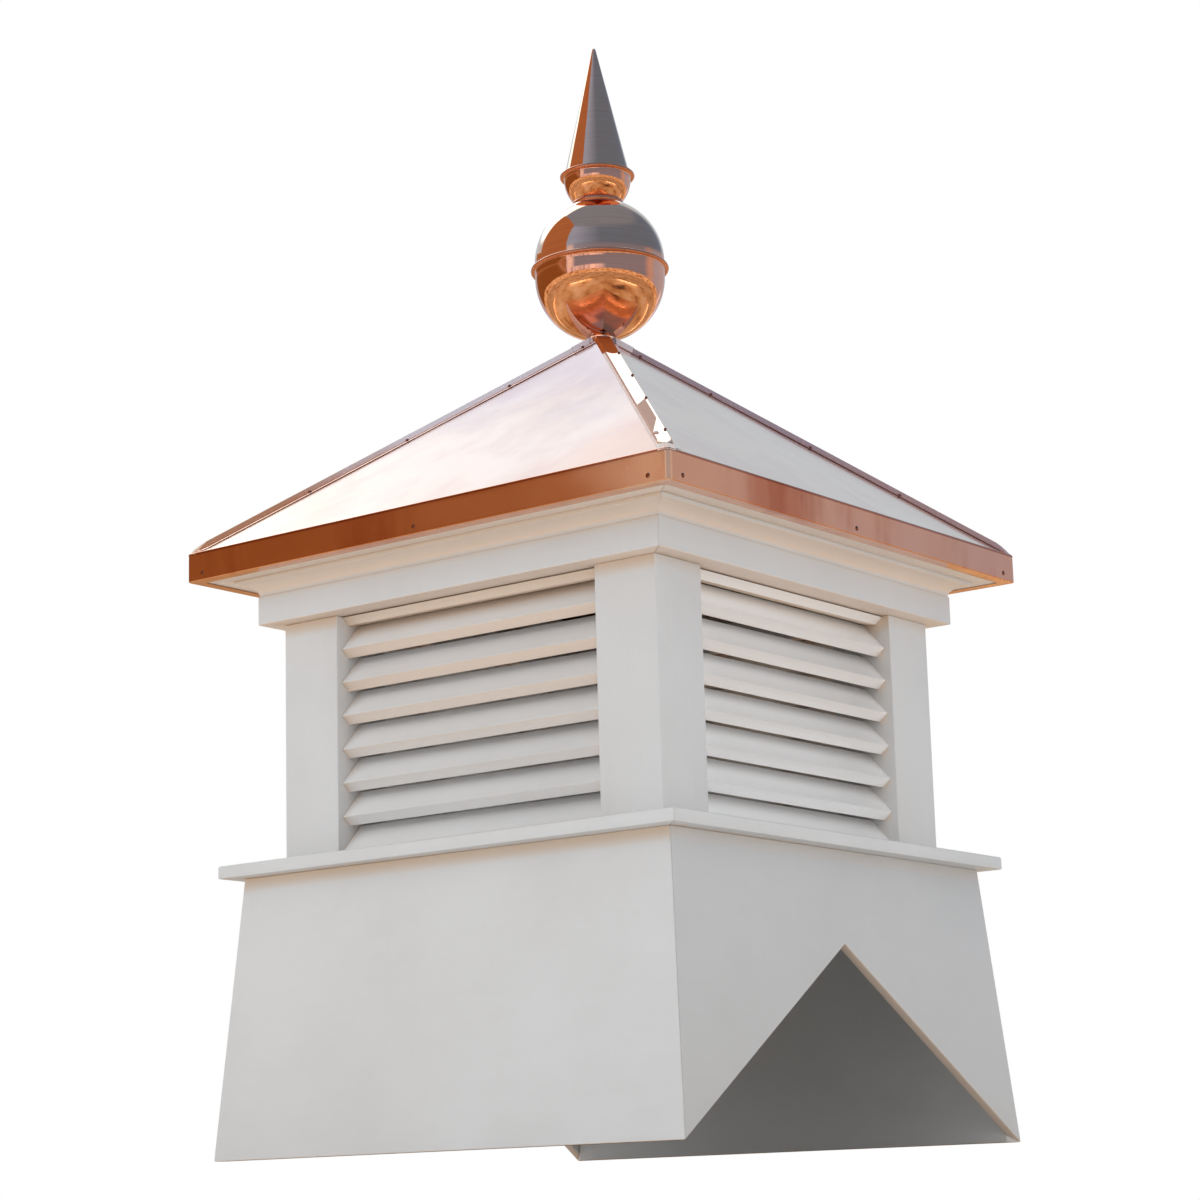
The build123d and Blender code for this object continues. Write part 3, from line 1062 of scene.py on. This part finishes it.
finishPiece(foot, spunCopper, "finial_copper", "finial_foot")
collarLine = [(finial["collarRadius"] - x * mm, collarBottom + z * mm) for x, z in finial["collarFoot"]]
collarLine += [(finial["collarRadius"] - x * mm, collarTop - z * mm) for x, z in finial["collarCrown"]]
collar = turnedPiece("finialCollar", [(0, collarBottom), *collarLine, (0, collarTop)])
finishPiece(collar, beadCopper, "finial_copper", "finial_collar")

spireRadius = bowl - finial["spireInset"]
spireTop = bowlRim + finial["spireHeight"]
spireRise = finial["spireHeight"] - finial["spireTip"]
spireShares = spread(0.0, 1.0, finial["spireSteps"])
spireShares.insert(1, 0.001)
spireLine = [
    (spireRadius + (finial["spireTip"] - spireRadius) * share, bowlRim + spireRise * share)
    for share in spireShares
]


def rolledCone(angle, height):
    # the step where the rolled sheet laps itself, and the slack of hand rolling
    around, up = finial["slackScale"]
    lap = finial["lapStep"] * max(0.0, 1 - abs(angle - finial["lapAt"]) * finial["lapSharp"])
    swell = noise.noise(Vector((cos(angle) * around, sin(angle) * around, height * up)))
    shift = lap + finial["spireSlack"] * swell - finial["spireShrink"]
    return shift * (1 - (height - bowlRim) / finial["spireHeight"])


pointRadius, pointDrop = finial["spirePoint"]
spire = turnedPiece("spireCone", spireLine + [
    (pointRadius, spireTop - pointDrop), (0, spireTop),
    (0, bowlRim + spireRise * (1 - finial["shell"] / spireRadius)),
    (spireRadius - finial["shell"], bowlRim),
], rolledCone)
finishPiece(spire, spunCopper, "finial_copper", "finial_spire")
print("finial ready")


# floor, light and camera

studio = {
    "floorRadius": 9.0,
    "floorDrop": 0.6 * mm,
    "floorRings": 24,
    "floorSpread": 1.7,
    "floorAround": 96,
    "floorBounce": (0.88, 0.87, 0.86, 1),  # what light bounces off
    "floorPale": (0.9, 0.9, 0.9, 1),  # what the camera sees
    "earth": [(0.36, (0.98, 0.78, 0.50)), (0.50, (0.82, 0.54, 0.26)), (0.60, (0.56, 0.30, 0.12)),
              (0.68, (0.16, 0.09, 0.05))],  # what polished copper shows
    "earthNoise": (0.75, 4, 0.5),
    "earthFar": (0.78, 0.54, 0.30, 1),
    "earthFarSpan": (1.6, 3.6, 0.0, 0.5),
    "fadeSpan": (1.1, 3.0),
    "ambient": 0.66,
    "ambientTint": (0.99, 1.0, 1.01, 1),
    # a lamp is its place, target, size, power and tint
    "keyLamp": ((-3.2, -4.6, 3.4), (0, 0, 0.6), (3.0, 3.0), 35, (1.0, 0.99, 0.98)),
    "lowLamp": ((0, -3.3, 0.14), (0, 0, 0.55), (2.4, 0.25), 17),
}


def floorDisc():
    mesh = bmesh.new()
    around = studio["floorAround"]
    level = -studio["floorDrop"]
    centre = mesh.verts.new((0, 0, level))
    before = None
    for ring in range(1, studio["floorRings"] + 1):
        reach = studio["floorRadius"] * (ring / studio["floorRings"]) ** studio["floorSpread"]
        angles = spread(0.0, 2 * pi, around)[:-1]
        row = [mesh.verts.new((reach * cos(angle), reach * sin(angle), level)) for angle in angles]
        row.append(row[0])
        if before:
            joinRows(mesh, before, row)
        else:
            for step in range(around):
                mesh.faces.new([centre, row[step], row[step + 1]])
        before = row
    piece = pieceFrom(mesh, "studioFloor")
    if piece.data.polygons[0].normal.z < 0:
        piece.data.flip_normals()
    return piece


def floorPaint():
    # pale floor that fades to the white background, and doesn't hide the object from underneath
    made, tree = emptyMaterial("floorPaint")
    rays = addNode(tree, "LightPath").outputs
    coords = addNode(tree, "TexCoord").outputs["Object"]
    reach = addNode(tree, "VectorMath", {0: coords}, operation="LENGTH").outputs["Value"]
    earth = rampOf(cloud(tree, *studio["earthNoise"]), studio["earth"])
    earth = mix(between(reach, *studio["earthFarSpan"]), earth, studio["earthFar"])
    colour = mix(rays["Is Glossy Ray"], studio["floorBounce"], earth)
    colour = mix(rays["Is Camera Ray"], colour, studio["floorPale"])
    matt = addNode(tree, "BsdfDiffuse", {"Color": colour})
    white = addNode(tree, "Emission", {"Color": (1, 1, 1, 1)})
    clear = addNode(tree, "BsdfTransparent")
    far = times(between(reach, *studio["fadeSpan"]), rays["Is Camera Ray"])
    shown = addNode(tree, "MixShader", {0: far, 1: matt, 2: white})
    under = addNode(tree, "NewGeometry").outputs["Backfacing"]
    both = addNode(tree, "MixShader", {0: under, 1: shown, 2: clear})
    addNode(tree, "OutputMaterial", {"Surface": both})
    return made


floor = floorDisc()
floor.data.materials.append(floorPaint())

# what the polished copper shows: an open sky, brightest behind on the left, and a brown wall
# bearings are in degrees from the front, levels are the sine of the height over the horizon
sky = {
    "ring": [(-180, (0.50, 0.50, 0.56)), (-24, (0.50, 0.50, 0.56)), (-19, (0.95, 0.85, 0.80)),
             (-13, (0.95, 0.85, 0.80)), (-6, (0.27, 0.31, 0.42)), (122, (0.27, 0.31, 0.42)),
             (136, (0.63, 0.46, 0.38)), (146, (0.50, 0.49, 0.50)), (152, (0.44, 0.50, 0.67)),
             (180, (0.50, 0.50, 0.56))],  # just above the horizon, by bearing
    "fence": [(0.36, (0.30, 0.20, 0.17)), (0.5, (0.75, 0.66, 0.70)), (0.62, (1.15, 0.95, 0.92))],
    "fenceNoise": (7, 4, 0.6, (1, 1, 0.06)),
    "fenceTop": (0.15, 0.09),
    "fenceRight": (50, 38),
    "earthTop": -0.01,
    "earthNoise": (8, 5, 0.6, (1, 1, 4)),
    "haze": (0.58, 0.76, 0.87),
    "lilac": (0.33, 0.54, 0.85),
    "deep": (0.15, 0.26, 0.41),
    "dusk": (0.30, 0.45, 0.60),
    "round": [(-180, "deep"), (-172, "dusk"), (-164, "haze"), (-60, "haze"), (-46, "lilac"), (-12, "lilac"),
              (40, "deep"), (180, "deep")],  # higher up, by bearing
    "roundSpan": (0.30, 0.37),
    "zenith": (0.22, 0.34, 0.48, 1),
    "zenithSpan": (0.72, 0.84),
    "drift": (3.0, 5),
    "glow": (1.9, 2.5, 2.65, 1),
    "glowWay": (-0.635, 0.367, 0.68),
    "glowSpan": (0.90, 0.93),
    "glowLow": (0.42, 0.52),
    "glowDrift": 0.03,
    "veil": (0.98, 1.36, 1.66, 1),
    "veilWay": (-0.575, 0.44, 0.69),
    "veilSpan": (0.982, 0.997),
    "veilDrift": 0.02,
    "wallLeft": -91,  # a tall wall, with a lower one on its left
    "wallLowLeft": -113,
    "wallLowTop": 0.36,
    "wallRight": -23,
    "wallTop": 0.86,
    "wallMiddle": -60,
    "wallTopBend": 0.16,
    "wallHigh": (0.42, 0.20, 0.085, 1),
    "wallHighSpan": (0.27, 0.32),
    "wallSlant": 57,
    "wallTones": [(-33, (0.27, 0.11, 0.03)), (-28, (0.29, 0.125, 0.04)), (-24, (0.37, 0.2, 0.1)),
                  (-21, (0.5, 0.29, 0.17)), (-17, (0.4, 0.2, 0.09)), (-10, (0.37, 0.18, 0.07))],
    "wallSpan": 100,
}


def skyPicture(tree):
    way = addNode(tree, "TexCoord").outputs["Generated"]
    east, north, up = addNode(tree, "SeparateXYZ", {0: way}).outputs
    bearing = compute("ARCTAN2", east, times(north, -1.0))
    around = plus(times(bearing, 0.5 / pi), 0.5)
    drift = cloud(tree, *sky["drift"], vector=way)

    def toward(name):
        # how far inside a bright place, with an uneven rim
        sockets = {0: way, 1: Vector(sky[name + "Way"]).normalized()}
        dot = addNode(tree, "VectorMath", sockets, operation="DOT_PRODUCT").outputs["Value"]
        return between(plus(dot, strayOf(drift, sky[name + "Drift"])), *sky[name + "Span"])

    air = rampOf(around, [((degrees + 180) / 360, sky[key]) for degrees, key in sky["round"]])
    ring = rampOf(around, [((degrees + 180) / 360, shade) for degrees, shade in sky["ring"]])
    fence = between(bearing, *(radians(degrees) for degrees in sky["fenceRight"]))
    fence = times(between(up, *sky["fenceTop"]), fence)
    ring = mix(fence, ring, rampOf(cloud(tree, *sky["fenceNoise"], way), sky["fence"]))
    air = mix(between(up, *sky["zenithSpan"]), air, sky["zenith"])
    air = mix(between(up, *sky["roundSpan"]), ring, air)
    air = mix(times(toward("glow"), between(up, *sky["glowLow"])), air, sky["glow"])
    air = mix(toward("veil"), air, sky["veil"])

    turned = radians(sky["wallLeft"] - sky["wallLowLeft"])
    left = plus(times(compute("LESS_THAN", up, sky["wallLowTop"]), turned), bearing)
    middle = minus(bearing, radians(sky["wallMiddle"]))
    inWall = times(
        compute("GREATER_THAN", left, radians(sky["wallLeft"])),
        compute("LESS_THAN", bearing, radians(sky["wallRight"])),
        compute("LESS_THAN", plus(up, times(middle, middle, sky["wallTopBend"])), sky["wallTop"]),
    )
    slant = plus(times(up, radians(sky["wallSlant"])), bearing)
    place = plus(times(slant, 1 / radians(sky["wallSpan"])), 1.0)
    wall = rampOf(place, [(1 + degrees / sky["wallSpan"], shade) for degrees, shade in sky["wallTones"]])
    wall = mix(between(up, *sky["wallHighSpan"]), wall, sky["wallHigh"])
    air = mix(inWall, air, wall)
    earth = rampOf(cloud(tree, *sky["earthNoise"], way), studio["earth"])
    return mix(compute("LESS_THAN", up, sky["earthTop"]), air, earth)


def studioWorld():
    # white to the camera, even soft light on matt surfaces, and the sky in polished copper
    world = bpy.data.worlds.new("openSky")
    bpy.context.scene.world = world
    world.use_nodes = True
    tree = world.node_tree
    tree.nodes.clear()
    rays = addNode(tree, "LightPath").outputs
    mirrored = larger(rays["Is Glossy Ray"], rays["Is Transmission Ray"])
    soft = addNode(tree, "Background", {"Color": studio["ambientTint"], "Strength": studio["ambient"]})
    sharp = addNode(tree, "Background", {"Color": skyPicture(tree)})
    white = addNode(tree, "Background", {"Color": (1, 1, 1, 1)})
    lit = addNode(tree, "MixShader", {0: mirrored, 1: soft, 2: sharp})
    seen = addNode(tree, "MixShader", {0: rays["Is Camera Ray"], 1: lit, 2: white})
    addNode(tree, "OutputWorld", {"Surface": seen})


studioWorld()


def softLamp(name, turn, place, target, size, power, tint=(1, 1, 1)):
    data = bpy.data.lights.new(name, "AREA")
    data.shape = "RECTANGLE"
    data.size, data.size_y = size
    data.energy = power
    data.color = tint
    lamp = placed(name, data)
    lamp.location = Matrix.Rotation(radians(turn), 3, "Z") @ Vector(place)
    lamp.rotation_euler = (Vector(target) - lamp.location).to_track_quat("-Z", "Y").to_euler()
    lamp.visible_glossy = False
    lamp.visible_camera = False


softLamp("keyLamp", 0, *studio["keyLamp"])
for side, turn in sides.items():
    softLamp(f"lowLamp_{side}", turn, *studio["lowLamp"])

# the photograph's view: from below the eaves, turned to the right of the front
view = {
    "azimuth": 37.70,
    "pitch": 12.01,
    "roll": -1.56,
    "distance": 3.743,
    "aside": -0.0116,
    "aim": 0.6981,
    "lens": 87.3,
    "sensor": 36,
    "clipEnd": 60,
}


def placeCamera():
    # turned round the object and tilted, then moved back and aside, then rolled
    azimuth, pitch, roll = (radians(view[key]) for key in ("azimuth", "pitch", "roll"))
    data = bpy.data.cameras.new("photoCamera")
    data.lens = view["lens"]
    data.sensor_width = view["sensor"]
    data.clip_end = view["clipEnd"]
    camera = placed("photoCamera", data)
    around = Matrix.Rotation(azimuth, 4, "Z") @ Matrix.Rotation(pi / 2 + pitch, 4, "X")
    away = Matrix.Translation((view["aside"], 0, view["distance"])) @ Matrix.Rotation(roll, 4, "Z")
    camera.matrix_world = Matrix.Translation((0, 0, view["aim"])) @ around @ away
    bpy.context.scene.camera = camera


placeCamera()
bpy.context.scene.view_settings.view_transform = "Standard"
print("studio ready")
